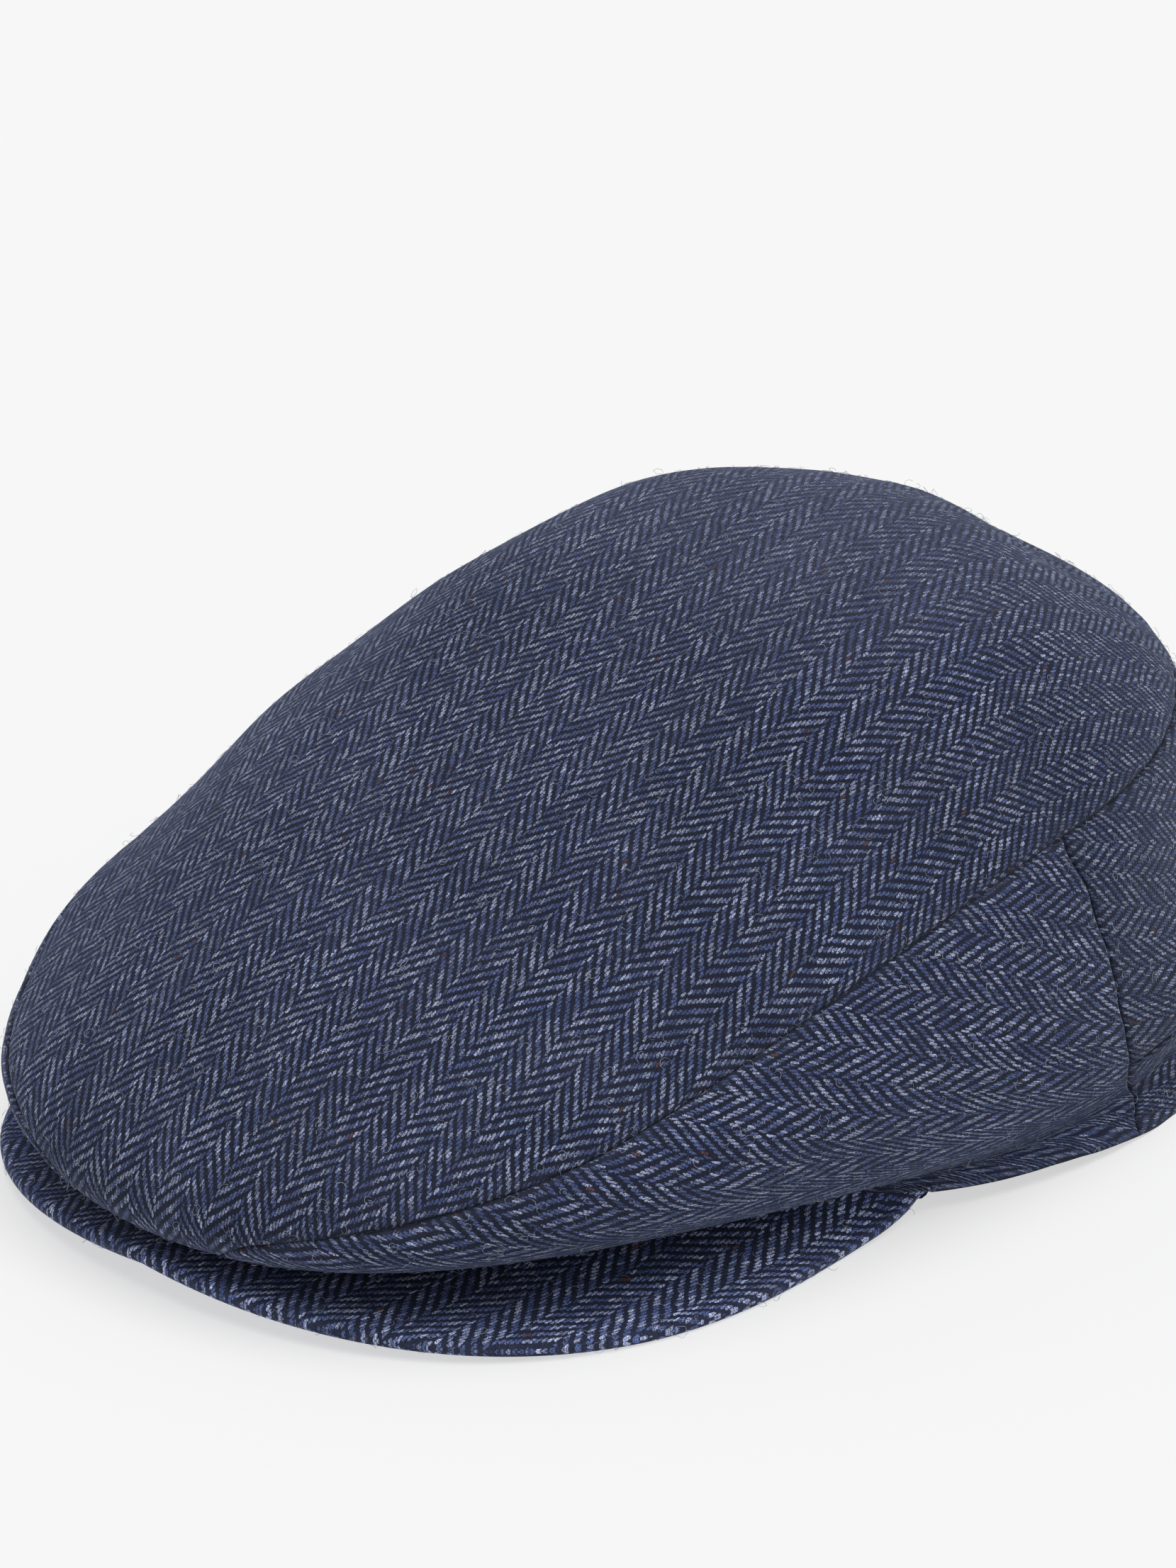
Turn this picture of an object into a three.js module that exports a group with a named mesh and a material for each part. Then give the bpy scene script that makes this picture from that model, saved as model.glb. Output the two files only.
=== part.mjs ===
// A soft flat cap: a one-piece top panel, two side panels, a back panel, a back band and a stiff peak.
// Millimetres, +Z up, the peak to -Y and the wearer's left side to +X. The cap lies on Z = 0.
import * as THREE from 'three';
import { mergeVertices } from 'three/addons/utils/BufferGeometryUtils.js';

// Head opening, measured outside the cloth at its edge.
const OPENING_LENGTH = 194;
const OPENING_WIDTH = 173;
const OPENING_FRONT_LIFT = 16;
const OPENING_SIDE_LIFT = 3;
// How far below the surface the free back edge would hang: it is pressed flat there.
const BACK_EDGE_SAG = 5;

// Crown, measured from the middle of the opening.
const CROWN_FRONT = 157;
const CROWN_REAR = 98;
const CROWN_WIDTH = 174;
const CROWN_HEIGHT = 100;
const SUMMIT_BEHIND_MIDDLE = 10;
const BAND_HEIGHT = 15;

// Peak: a crescent around the front of the opening.
const PEAK_DEPTH = 57;
const PEAK_HALF_ANGLE = 63;
const PEAK_THICKNESS = 3;
const PEAK_TIP_THICKNESS = 2.2;
const PEAK_FRONT_LIFT = 5.2;

// Cloth wall, gap across a seam, and gap between the crown and the peak that carries it.
const CLOTH = 2;
const SEAM_GAP = 0.3;
const REST_GAP = 0.35;

// Crease just above the opening's edge: shares of the opening's sizes and of the crown's height.
const CREASE = { front: 1.05, rear: 0.96, width: 0.95, frontZ: 0.17, sideZ: 0.075, rearZ: 0.09 };

// Sections of the crown above the crease, as shares of the crown's sizes and of its height.
// taper narrows a section's front half, square fills its front corners.
const SECTION_COLUMNS = ['front', 'rear', 'width', 'frontZ', 'sideZ', 'rearZ', 'taper', 'square'];
const SECTIONS = [
  [0.79, 0.97, 0.95, 0.11, 0.085, 0.17, 0.06, 0.03],
  [0.96, 1.01, 1, 0.06, 0.175, 0.22, 0.14, 0.05],
  [1.04, 0.98, 1.01, 0.19, 0.32, 0.37, 0.01, 0.08],
  [0.9, 0.93, 0.96, 0.36, 0.5, 0.55, 0.01, 0],
  [0.72, 0.87, 0.88, 0.53, 0.66, 0.7, 0.03, 0],
  [0.5, 0.635, 0.66, 0.69, 0.825, 0.84, 0.05, 0],
  [0.215, 0.405, 0.45, 0.86, 0.985, 0.985, 0.07, 0],
].map((row) => Object.fromEntries(row.map((share, column) => [SECTION_COLUMNS[column], share])));
// How fast a section's height falls from its side to its front.
const FRONT_FALL = 1.7;

// Seam around the top panel: degrees from the front, and level, which counts sections from the edge.
const TOP_SEAM = [
  { angle: 0, level: 2 },
  { angle: 7, level: 2.25 },
  { angle: 12, level: 2.9 },
  { angle: 17, level: 3.65 },
  { angle: 25, level: 3.93 },
  { angle: 36, level: 4.13 },
  { angle: 48, level: 4.38 },
  { angle: 60, level: 4.8 },
  { angle: 72, level: 5.2 },
  { angle: 84, level: 5.5 },
  { angle: 97.5, level: 5.7 },
  { angle: 130, level: 5.8 },
  { angle: 180, level: 5.85 },
];

// Upright seam between the side and back panels: share of the seam's height, degrees from the front.
const BACK_SEAM = [
  { share: 0, angle: 96 },
  { share: 0.17, angle: 100.5 },
  { share: 0.5, angle: 104.5 },
  { share: 0.7, angle: 105.5 },
  { share: 0.88, angle: 101.5 },
  { share: 1, angle: 97.5 },
];

// Outline and section of the peak, as powers and as shares of its half angle.
const PEAK_SWEEP = 1.7;
const PEAK_ROUNDING = 2.1;
const PEAK_CURL = 2.2;
const PEAK_LIFT_POWER = 1.5;
const PEAK_LIFT_SPAN = 0.58;
const PEAK_TIP_RISE_FROM = 0.8;
const PEAK_NOSE_SHARE = 0.5;

// Fineness of the facets.
const TIP_COLUMNS = 9;
const SIDE_COLUMNS = 18;
const REAR_COLUMNS = 13;
const TOP_ROWS = 16;
const BACK_ROWS = 8;
const BAND_ROWS = 6;
const PEAK_COLUMNS = 36;
const PEAK_ROWS = 6;

const DEGREE = Math.PI / 180;
const HALF_TURN = 180;
const halfLength = OPENING_LENGTH / 2;
const halfWidth = OPENING_WIDTH / 2;

// Numbers evenly spaced from one value to another, both included.
function spread(from, to, steps) {
  return Array.from({ length: steps + 1 }, (_, step) => from + ((to - from) * step) / steps);
}

// Smooth curve through a table's rows that never overshoots between two of them.
function smoothTable(rows, across, up) {
  const x = rows.map((row) => row[across]);
  const y = rows.map((row) => row[up]);
  const rise = x.slice(1).map((value, i) => (y[i + 1] - y[i]) / (value - x[i]));
  const slope = x.map((_, i) => {
    const before = rise[i - 1] ?? 0;
    const after = rise[i] ?? 0;
    return before * after > 0 ? (2 * before * after) / (before + after) : 0;
  });
  return (value) => {
    const at = THREE.MathUtils.clamp(value, x[0], x[x.length - 1]);
    const i = Math.min(x.findIndex((end, k) => k > 0 && at <= end) - 1, x.length - 2);
    const width = x[i + 1] - x[i];
    const t = (at - x[i]) / width;
    const start = y[i] * (1 + 2 * t) * (1 - t) ** 2 + slope[i] * width * t * (1 - t) ** 2;
    return start + y[i + 1] * (3 - 2 * t) * t ** 2 - slope[i + 1] * width * (1 - t) * t ** 2;
  };
}

const seamLevel = smoothTable(TOP_SEAM, 'angle', 'level');
const backSeamAngle = smoothTable(BACK_SEAM, 'share', 'angle');

// Level of the top seam on either side: the table's angles count both ways from the front.
function topSeam(angle) {
  const fromFront = Math.abs(((angle + HALF_TURN) % (2 * HALF_TURN)) - HALF_TURN);
  return seamLevel(fromFront);
}

// Peak: directions are degrees from the front, seen from the middle of the opening.
function openingAngle(direction) {
  const turn = direction * DEGREE;
  return Math.atan2(Math.sin(turn) / halfWidth, Math.cos(turn) / halfLength);
}

function openingRadius(direction) {
  const turn = direction * DEGREE;
  return 1 / Math.hypot(Math.sin(turn) / halfWidth, Math.cos(turn) / halfLength);
}

function openingLift(angle) {
  const front = Math.max(Math.cos(angle), 0);
  const rear = Math.max(-Math.cos(angle), 0);
  const rise = (OPENING_FRONT_LIFT - OPENING_SIDE_LIFT) * front ** FRONT_FALL;
  return Math.max(OPENING_SIDE_LIFT + rise - (OPENING_SIDE_LIFT + BACK_EDGE_SAG) * rear ** 2, 0);
}

function peakDepth(direction) {
  const share = Math.min(Math.abs(direction) / PEAK_HALF_ANGLE, 1);
  return PEAK_DEPTH * Math.cos((Math.PI / 2) * share ** PEAK_SWEEP) ** PEAK_ROUNDING;
}

function peakThickness(direction) {
  const share = Math.min(Math.abs(direction) / PEAK_HALF_ANGLE, 1);
  return THREE.MathUtils.lerp(PEAK_THICKNESS, PEAK_TIP_THICKNESS, share ** 2);
}

function peakRoot(direction) {
  return openingLift(openingAngle(direction)) - REST_GAP;
}

// Height of the peak's lower edge: lifted at the front, on the surface at its shoulders.
function peakEdge(direction) {
  const share = Math.min(Math.abs(direction) / PEAK_HALF_ANGLE, 1);
  const front = Math.max(1 - share / PEAK_LIFT_SPAN, 0) ** PEAK_LIFT_POWER;
  const tip = Math.max((share - PEAK_TIP_RISE_FROM) / (1 - PEAK_TIP_RISE_FROM), 0) ** PEAK_LIFT_POWER;
  return PEAK_FRONT_LIFT * front + (peakRoot(PEAK_HALF_ANGLE) - PEAK_TIP_THICKNESS) * tip;
}

// Height of the peak's upper face, from its root at the opening (0) to its outer edge (1).
function peakTop(direction, share) {
  const edge = peakEdge(direction) + peakThickness(direction);
  return edge + (peakRoot(direction) - edge) * (1 - THREE.MathUtils.clamp(share, 0, 1)) ** PEAK_CURL;
}

// Lowest height that the crown can take above a point in plan, where the peak is under it.
function peakSeat(x, y) {
  const direction = Math.atan2(x, -y) / DEGREE;
  const depth = peakDepth(direction);
  const out = Math.hypot(x, y) - openingRadius(direction);
  if (Math.abs(direction) > PEAK_HALF_ANGLE || out > depth) return -Infinity;
  return peakTop(direction, out / Math.max(depth, CLOTH)) + REST_GAP;
}

// Crown: a closed curve for each section, from sizes in millimetres. The one round the summit falls evenly.
function sectionPoint(section, angle) {
  const cos = Math.cos(angle);
  const sin = Math.sin(angle);
  const front = Math.max(cos, 0);
  const rear = Math.max(-cos, 0);
  const corner = 1 + 4 * section.square * (front * sin) ** 2;
  const middle = (section.rear - section.front) / 2;
  const reach = (section.rear + section.front) / 2;
  const toFront = section.frontZ - section.sideZ;
  const toRear = section.rearZ - section.sideZ;
  const fall = toFront * front ** FRONT_FALL + toRear * rear ** 2;
  const evenFall = ((toFront - toRear) * cos + (toFront + toRear) * cos ** 2) / 2;
  return new THREE.Vector3(
    section.width * sin * corner * (1 - section.taper * cos),
    middle - reach * cos * corner,
    section.sideZ + (section.even ? evenFall : fall),
  );
}

function edgePoint(angle) {
  return new THREE.Vector3(halfWidth * Math.sin(angle), -halfLength * Math.cos(angle), openingLift(angle));
}

function sized(row, front, rear, width) {
  return {
    front: row.front * front,
    rear: row.rear * rear,
    width: row.width * width,
    frontZ: row.frontZ * CROWN_HEIGHT,
    sideZ: row.sideZ * CROWN_HEIGHT,
    rearZ: row.rearZ * CROWN_HEIGHT,
    taper: row.taper ?? 0,
    square: row.square ?? 0,
    even: row === SECTIONS.at(-1),
  };
}

const crease = sized(CREASE, halfLength, halfLength, halfWidth);
const sections = SECTIONS.map((row) => sized(row, CROWN_FRONT, CROWN_REAR, CROWN_WIDTH / 2));
const rings = [crease, ...sections];
const summit = new THREE.Vector3(0, SUMMIT_BEHIND_MIDDLE, CROWN_HEIGHT);
const summitLevel = rings.length + 1;

// Control points by level: the edge, the crease, the sections, and the summit seen from every side.
function control(level, angle) {
  if (level < 0) return edgePoint(angle).multiplyScalar(2).sub(control(1, angle));
  if (level === 0) return edgePoint(angle);
  if (level < summitLevel) return sectionPoint(rings[level - 1], angle);
  const near = sectionPoint(rings[rings.length - 1], angle);
  const far = sectionPoint(rings[rings.length - 1], angle + Math.PI);
  if (level > summitLevel) return far;
  return summit.clone().multiplyScalar(6).sub(near).sub(far).divideScalar(4);
}

// Point of the crown's outside: a cubic B-spline over the levels, seated on the peak.
function crownPoint(degrees, level) {
  const angle = degrees * DEGREE;
  const start = Math.min(Math.floor(level), summitLevel - 1);
  const t = level - start;
  const weights = [(1 - t) ** 3, 3 * t ** 3 - 6 * t ** 2 + 4, 1 + 3 * t + 3 * t ** 2 - 3 * t ** 3, t ** 3];
  const point = new THREE.Vector3();
  weights.forEach((weight, i) => point.addScaledVector(control(start - 1 + i, angle), weight / 6));
  point.z = Math.max(point.z, peakSeat(point.x, point.y));
  return point;
}

const PROBE = 0.02;

// Change of the crown's surface along its angle, per degree, and across its levels, per level.
function alongAngle(angle, level) {
  const ahead = crownPoint(angle + PROBE, level);
  return ahead.sub(crownPoint(angle - PROBE, level)).divideScalar(2 * PROBE);
}

function acrossLevels(angle, level) {
  const low = Math.max(level - PROBE, 0);
  const high = Math.min(level + PROBE, summitLevel);
  return crownPoint(angle, high).sub(crownPoint(angle, low)).divideScalar(high - low);
}

// Point of the lining side, one cloth wall in. It never hangs below the opening's edge.
function liningPoint(angle, level) {
  const point = crownPoint(angle, level);
  if (level >= summitLevel) return point.setZ(point.z - CLOTH);
  const normal = alongAngle(angle, level).cross(acrossLevels(angle, level)).normalize();
  point.addScaledVector(normal, -CLOTH);
  point.z = Math.max(point.z, edgePoint(angle * DEGREE).z);
  return point;
}

// Levels taken by half a seam gap, square to a seam that may slant across the levels.
function halfGapLevels(angle, seam) {
  const [before, after] = [angle - PROBE, angle + PROBE];
  const along = crownPoint(after, seam(after)).sub(crownPoint(before, seam(before)));
  const across = acrossLevels(angle, seam(angle));
  const slant = across.clone().normalize().cross(along.normalize()).length();
  return SEAM_GAP / 2 / slant / across.length();
}

// Closed wall from columns that run from its lower to its upper edge, with their outer and inner points.
function wallGeometry(columns, isRing) {
  const rows = columns[0].outer.length;
  const corners = columns.flatMap((column) => [...column.outer, ...column.inner]);
  const outer = (column, row) => (column % columns.length) * rows * 2 + row;
  const inner = (column, row) => outer(column, row) + rows;
  const triangles = [];
  // A four-sided facet is split along its shorter diagonal.
  const quad = (a, b, c, d) => {
    const isShort = corners[a].distanceTo(corners[c]) <= corners[b].distanceTo(corners[d]);
    if (isShort) triangles.push([a, b, c], [a, c, d]);
    else triangles.push([a, b, d], [b, c, d]);
  };
  const last = columns.length - 1;
  for (let i = 0; i < (isRing ? columns.length : last); i += 1) {
    for (let j = 0; j < rows - 1; j += 1) {
      quad(outer(i, j), outer(i + 1, j), outer(i + 1, j + 1), outer(i, j + 1));
      quad(inner(i, j), inner(i, j + 1), inner(i + 1, j + 1), inner(i + 1, j));
    }
    quad(outer(i + 1, 0), outer(i, 0), inner(i, 0), inner(i + 1, 0));
    quad(outer(i, rows - 1), outer(i + 1, rows - 1), inner(i + 1, rows - 1), inner(i, rows - 1));
  }
  for (let j = 0; j < rows - 1 && !isRing; j += 1) {
    quad(outer(0, j), outer(0, j + 1), inner(0, j + 1), inner(0, j));
    quad(outer(last, j), inner(last, j), inner(last, j + 1), outer(last, j + 1));
  }
  const geometry = new THREE.BufferGeometry().setFromPoints(corners);
  geometry.setIndex(triangles.flat());
  return withoutCollapsed(mergeVertices(geometry));
}

// Drops the triangles that a column's meeting point has closed to a line.
function withoutCollapsed(geometry) {
  const index = geometry.index.array;
  const kept = [];
  for (let i = 0; i < index.length; i += 3) {
    const [a, b, c] = [index[i], index[i + 1], index[i + 2]];
    if (a !== b && b !== c && c !== a) kept.push(a, b, c);
  }
  geometry.setIndex(kept);
  geometry.computeVertexNormals();
  return geometry;
}

// A panel's column from its angles and levels.
function panelColumn(places) {
  return {
    outer: places.map(({ angle, level }) => crownPoint(angle, level)),
    inner: places.map(({ angle, level }) => liningPoint(angle, level)),
  };
}

// Column angles of half the crown, from the front to the back, finest at the side panel's tip.
const tipEnd = TOP_SEAM[4].angle;
const sideEnd = backSeamAngle(1);
const halfRound = [
  ...spread(0, tipEnd, TIP_COLUMNS),
  ...spread(tipEnd, sideEnd, SIDE_COLUMNS).slice(1),
  ...spread(sideEnd, HALF_TURN, REAR_COLUMNS).slice(1),
];
const fullRound = [...halfRound, ...halfRound.slice(1, -1).reverse().map((angle) => 2 * HALF_TURN - angle)];
const halfGapAngle = SEAM_GAP / (CROWN_FRONT + CROWN_REAR) / DEGREE;

// Top panel: everything above the seam, folded under at the front.
function topPanel() {
  const columns = fullRound.map((angle) => {
    const low = topSeam(angle) + halfGapLevels(angle, topSeam);
    return panelColumn(spread(low, summitLevel, TOP_ROWS).map((level) => ({ angle, level })));
  });
  return wallGeometry(columns, true);
}

// Place on the back of the crown: along it from seam to seam, and a share of its height.
function backPlace(topAngle, share) {
  const along = (topAngle - sideEnd) / (2 * (HALF_TURN - sideEnd));
  const start = backSeamAngle(share) + halfGapAngle;
  const angle = THREE.MathUtils.lerp(start, 2 * HALF_TURN - start, along);
  return { angle, level: share * (topSeam(topAngle) - halfGapLevels(topAngle, topSeam)) };
}

// Share of the back's height at which its outside is as high as the band, moved up by a distance.
function bandShare(topAngle, shift) {
  let low = 0;
  let high = 1;
  while (high - low > PROBE ** 3) {
    const middle = (low + high) / 2;
    const { angle, level } = backPlace(topAngle, middle);
    if (crownPoint(angle, level).z < BAND_HEIGHT + shift) low = middle;
    else high = middle;
  }
  return (low + high) / 2;
}

// Side panel: from its narrow end under the front fold to the upright seam behind the ear.
function sidePanel(side) {
  const bandTop = bandShare(sideEnd, 0);
  const shares = [...spread(0, bandTop, BAND_ROWS), ...spread(bandTop, 1, BACK_ROWS).slice(1)];
  const columns = halfRound.filter((angle) => angle <= sideEnd).map((topAngle) => {
    const high = topSeam(topAngle) - halfGapLevels(topAngle, topSeam);
    const places = shares.map((share) => {
      const end = backSeamAngle(share) - halfGapAngle;
      const angle = THREE.MathUtils.lerp(halfGapAngle, end, topAngle / sideEnd);
      return { angle: side * angle, level: high * share };
    });
    return panelColumn(places);
  });
  return wallGeometry(side > 0 ? columns : columns.reverse(), false);
}

const backAngles = fullRound.filter((angle) => angle >= sideEnd && angle <= 2 * HALF_TURN - sideEnd);

function backPanel() {
  const columns = backAngles.map((topAngle) => {
    const shares = spread(bandShare(topAngle, SEAM_GAP), 1, BACK_ROWS);
    return panelColumn(shares.map((share) => backPlace(topAngle, share)));
  });
  return wallGeometry(columns, false);
}

function backBand() {
  const columns = backAngles.map((topAngle) => {
    const shares = spread(0, bandShare(topAngle, 0), BAND_ROWS);
    return panelColumn(shares.map((share) => backPlace(topAngle, share)));
  });
  return wallGeometry(columns, false);
}

// Peak: its section starts under the crown's cloth and ends in a blunt nose.
function peak() {
  const columns = spread(-PEAK_HALF_ANGLE, PEAK_HALF_ANGLE, PEAK_COLUMNS).map((direction) => {
    const root = openingRadius(direction);
    const depth = peakDepth(direction);
    const thickness = peakThickness(direction);
    const nose = thickness * PEAK_NOSE_SHARE;
    const at = (out, down) => {
      const turn = direction * DEGREE;
      const z = peakTop(direction, out / Math.max(depth, CLOTH)) - down;
      return new THREE.Vector3((root + out) * Math.sin(turn), -(root + out) * Math.cos(turn), z);
    };
    const outs = spread(-CLOTH, depth - nose, PEAK_ROWS);
    return {
      outer: [...outs.map((out) => at(out, thickness)), at(depth, thickness - nose / 2)],
      inner: [...outs.map((out) => at(out, 0)), at(depth, nose / 2)],
    };
  });
  return wallGeometry(columns, false);
}

function cloth(colour) {
  return new THREE.MeshStandardMaterial({ color: colour, roughness: 0.95, metalness: 0 });
}

const parts = [
  { name: 'top_panel', geometry: topPanel(), material: cloth(0x35405f) },
  { name: 'side_panel_left', geometry: sidePanel(1), material: cloth(0x333d5a) },
  { name: 'side_panel_right', geometry: sidePanel(-1), material: cloth(0x333d5a) },
  { name: 'back_panel', geometry: backPanel(), material: cloth(0x303a56) },
  { name: 'back_band', geometry: backBand(), material: cloth(0x2d3650) },
  { name: 'peak', geometry: peak(), material: cloth(0x2f3854) },
];

const assembly = new THREE.Group();
for (const { name, geometry, material } of parts) {
  const mesh = new THREE.Mesh(geometry, material);
  mesh.name = name;
  assembly.add(mesh);
}

// The origin is at the bottom centre of the whole cap.
const middle = new THREE.Box3().setFromObject(assembly).getCenter(new THREE.Vector3());
assembly.position.y = -middle.y;

const cap = new THREE.Group();
cap.add(assembly);

export default cap;
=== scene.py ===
# %% [markdown]
# A soft flat cap of dark blue herringbone wool, lying on a pale table. It is sewn from a
# one-piece top, two long side panels, a back panel, a narrow back band and a stiff peak.
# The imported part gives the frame: every piece of cloth below replaces one of its nodes, and reaches
# at most 3 mm past that node's box.

import math

import bmesh
import bpy
import numpy as np
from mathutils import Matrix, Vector


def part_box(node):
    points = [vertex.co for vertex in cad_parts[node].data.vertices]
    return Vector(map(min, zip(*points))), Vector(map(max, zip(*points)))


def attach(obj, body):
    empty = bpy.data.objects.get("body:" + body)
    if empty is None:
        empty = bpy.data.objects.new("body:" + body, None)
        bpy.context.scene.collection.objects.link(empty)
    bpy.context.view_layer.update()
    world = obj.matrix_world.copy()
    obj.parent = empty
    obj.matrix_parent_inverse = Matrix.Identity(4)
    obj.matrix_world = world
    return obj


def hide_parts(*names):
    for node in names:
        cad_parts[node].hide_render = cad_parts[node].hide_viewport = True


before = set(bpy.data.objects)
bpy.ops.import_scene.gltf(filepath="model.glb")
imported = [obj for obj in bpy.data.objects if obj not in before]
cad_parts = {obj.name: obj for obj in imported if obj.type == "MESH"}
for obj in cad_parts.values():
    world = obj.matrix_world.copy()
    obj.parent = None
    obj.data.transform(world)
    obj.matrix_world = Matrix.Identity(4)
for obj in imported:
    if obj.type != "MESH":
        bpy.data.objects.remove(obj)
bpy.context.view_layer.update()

# %% [markdown]
# The photograph is taken from the front left of the wearer, a little above the cap, with a long
# lens. So the camera stands about a metre away, and aims near the middle of the crown.

# %% Camera
MM = 0.001
IMAGE_WIDTH = 1659
CAMERA_TURN = math.radians(43.64)
CAMERA_RISE = math.radians(22.08)
CAMERA_DISTANCE = 1.1
CAMERA_AIM = np.array([-30.8, 17.4, 43.3]) * MM
FOCAL_PIXELS = 8253
SENSOR_WIDTH = 36


def add_camera():
    """Stands the camera where the photograph was taken from."""
    level = math.cos(CAMERA_RISE)
    back = np.array([math.sin(CAMERA_TURN) * level, -math.cos(CAMERA_TURN) * level, math.sin(CAMERA_RISE)])
    camera = bpy.data.objects.new("photo_camera", bpy.data.cameras.new("photo_camera"))
    bpy.context.collection.objects.link(camera)
    camera.location = CAMERA_AIM + CAMERA_DISTANCE * back
    camera.rotation_euler = (math.pi / 2 - CAMERA_RISE, 0, CAMERA_TURN)
    camera.data.sensor_fit = "HORIZONTAL"
    camera.data.sensor_width = SENSOR_WIDTH
    camera.data.lens = SENSOR_WIDTH * FOCAL_PIXELS / IMAGE_WIDTH
    camera.data.clip_start = 0.05
    bpy.context.scene.camera = camera
    return camera


camera = add_camera()
print("camera at", [round(c, 3) for c in camera.location], "with a", round(camera.data.lens), "mm lens")

# %% [markdown]
# The crown is one smooth skin over a stack of closed sections, as a cap is over a head block. Each
# section is an oval that may taper and grow square at the front, and a B-spline through the stack
# gives soft cloth with no corners. The sizes are the solid part's. Three things were tuned to the
# photograph here alone: the first four levels of the top seam, the rim's drops of up to 2.4 mm,
# and, further on, the swells, tuck and thinning at the peak's edge.

# %% Sizes of the cap, in millimetres
OPENING_LENGTH, OPENING_WIDTH = 194, 173
OPENING_FRONT_LIFT, OPENING_SIDE_LIFT, BACK_EDGE_SAG = 16, 3, 5
CROWN_FRONT, CROWN_REAR, CROWN_WIDTH, CROWN_HEIGHT = 157, 98, 174, 100
SUMMIT_BEHIND_MIDDLE, BAND_HEIGHT = 10, 15
PEAK_DEPTH, PEAK_HALF_ANGLE = 57, 63
PEAK_THICKNESS, PEAK_TIP_THICKNESS, PEAK_FRONT_LIFT = 3, 2.2, 5.2
CLOTH, REST_GAP = 2, 0.35
# Powers that shape the curves: the front fold's fall, the peak's outline, its hollow and its edge.
FRONT_FALL = 1.7
PEAK_FULLNESS, PEAK_POINT, PEAK_HOLLOW, EDGE_FALL = 1.7, 2.1, 2.2, 1.5
# Shares of the peak's half angle: where its lift ends, where its tip starts and the tip's length.
LIFT_END, TIP_START, TIP_LENGTH = 0.58, 0.8, 0.2
CREASE = (1.05, 0.96, 0.95, 0.17, 0.075, 0.09, 0, 0)
SECTIONS = [
    # front, rear, width, front height, side height, rear height, taper, square
    (0.79, 0.97, 0.95, 0.11, 0.085, 0.17, 0.06, 0.03),
    (0.96, 1.01, 1, 0.06, 0.175, 0.22, 0.14, 0.05),
    (1.04, 0.98, 1.01, 0.19, 0.32, 0.37, 0.01, 0.08),
    (0.9, 0.93, 0.96, 0.36, 0.5, 0.55, 0.01, 0),
    (0.72, 0.87, 0.88, 0.53, 0.66, 0.7, 0.03, 0),
    (0.5, 0.635, 0.66, 0.69, 0.825, 0.84, 0.05, 0),
    (0.215, 0.405, 0.45, 0.86, 0.985, 0.985, 0.07, 0),
]
TOP_SEAM_ANGLES = [0, 7, 12, 17, 25, 36, 48, 60, 72, 84, 97.5, 130, 180]
TOP_SEAM_LEVELS = [2.5, 2.8, 3.3, 3.7, 3.93, 4.13, 4.38, 4.8, 5.2, 5.5, 5.7, 5.8, 5.85]
RIM_ANGLES = [0, 52, 64, 73, 83, 92, 100, 112, 135, 180]
RIM_DROPS = [0, 0, 1.2, 0.7, 0, 1.2, 2.3, 2.4, 0.6, 0]
RIM_REACH = 1.4
BACK_SEAM_SHARES = [0, 0.17, 0.5, 0.7, 0.88, 1]
BACK_SEAM_ANGLES = [96, 100.5, 104.5, 105.5, 101.5, 97.5]
SUMMIT_LEVEL = len(SECTIONS) + 2
# The opening's middle, in the part's own frame.
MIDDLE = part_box("back_band")[1][1] / MM - OPENING_LENGTH / 2
print("the opening's middle lies", round(MIDDLE, 1), "mm behind the part's origin")


# %% [markdown]
# Each seam wanders over the crown along a short table of places. The curve through the rows has to
# stay between them, or the seam would wave. A Bezier curve would need its handles set by hand at
# every row, so a small function does it.

# %% Smooth tables for the seams
def smooth_table(x, y):
    """A curve through a table's rows that never overshoots between two of them."""
    x, y = np.array(x, float), np.array(y, float)
    rise = np.diff(y) / np.diff(x)
    before, after = rise[:-1], rise[1:]
    steady = before * after > 0
    inner = np.where(steady, 2 * before * after / np.where(steady, before + after, 1), 0)
    slope = np.concatenate([[0], inner, [0]])

    def value(at):
        at = np.clip(at, x[0], x[-1])
        i = np.clip(np.searchsorted(x, at, side="left") - 1, 0, len(x) - 2)
        width = x[i + 1] - x[i]
        t = (at - x[i]) / width
        start = y[i] * (1 + 2 * t) * (1 - t) ** 2 + slope[i] * width * t * (1 - t) ** 2
        return start + y[i + 1] * (3 - 2 * t) * t**2 - slope[i + 1] * width * (1 - t) * t**2

    return value


seam_level = smooth_table(TOP_SEAM_ANGLES, TOP_SEAM_LEVELS)
back_seam_angle = smooth_table(BACK_SEAM_SHARES, BACK_SEAM_ANGLES)
rim_drop = smooth_table(RIM_ANGLES, RIM_DROPS)


def top_seam(angle):
    """The seam round the top panel, by degrees from the front on either side."""
    return seam_level(np.abs((angle + 180) % 360 - 180))


print("the top seam stands at level", float(top_seam(0)), "in front and", float(top_seam(180)), "behind")


# %% [markdown]
# The peak is worked out before the crown, because the crown's front fold lies on it. It is a
# crescent round the opening, deepest in front, that runs out to a tip on either side. Its front
# edge is lifted and its shoulders touch the table. Formulas give its depth and height, so that the
# crown can ask how high the peak is at any place.

# %% The peak's shape
def opening_radius(direction):
    turn = np.radians(direction)
    return 1 / np.hypot(2 * np.sin(turn) / OPENING_WIDTH, 2 * np.cos(turn) / OPENING_LENGTH)


def opening_lift(turn):
    front, rear = np.maximum(np.cos(turn), 0), np.maximum(-np.cos(turn), 0)
    rise = (OPENING_FRONT_LIFT - OPENING_SIDE_LIFT) * front**FRONT_FALL
    return np.maximum(OPENING_SIDE_LIFT + rise - (OPENING_SIDE_LIFT + BACK_EDGE_SAG) * rear**2, 0)


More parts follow.
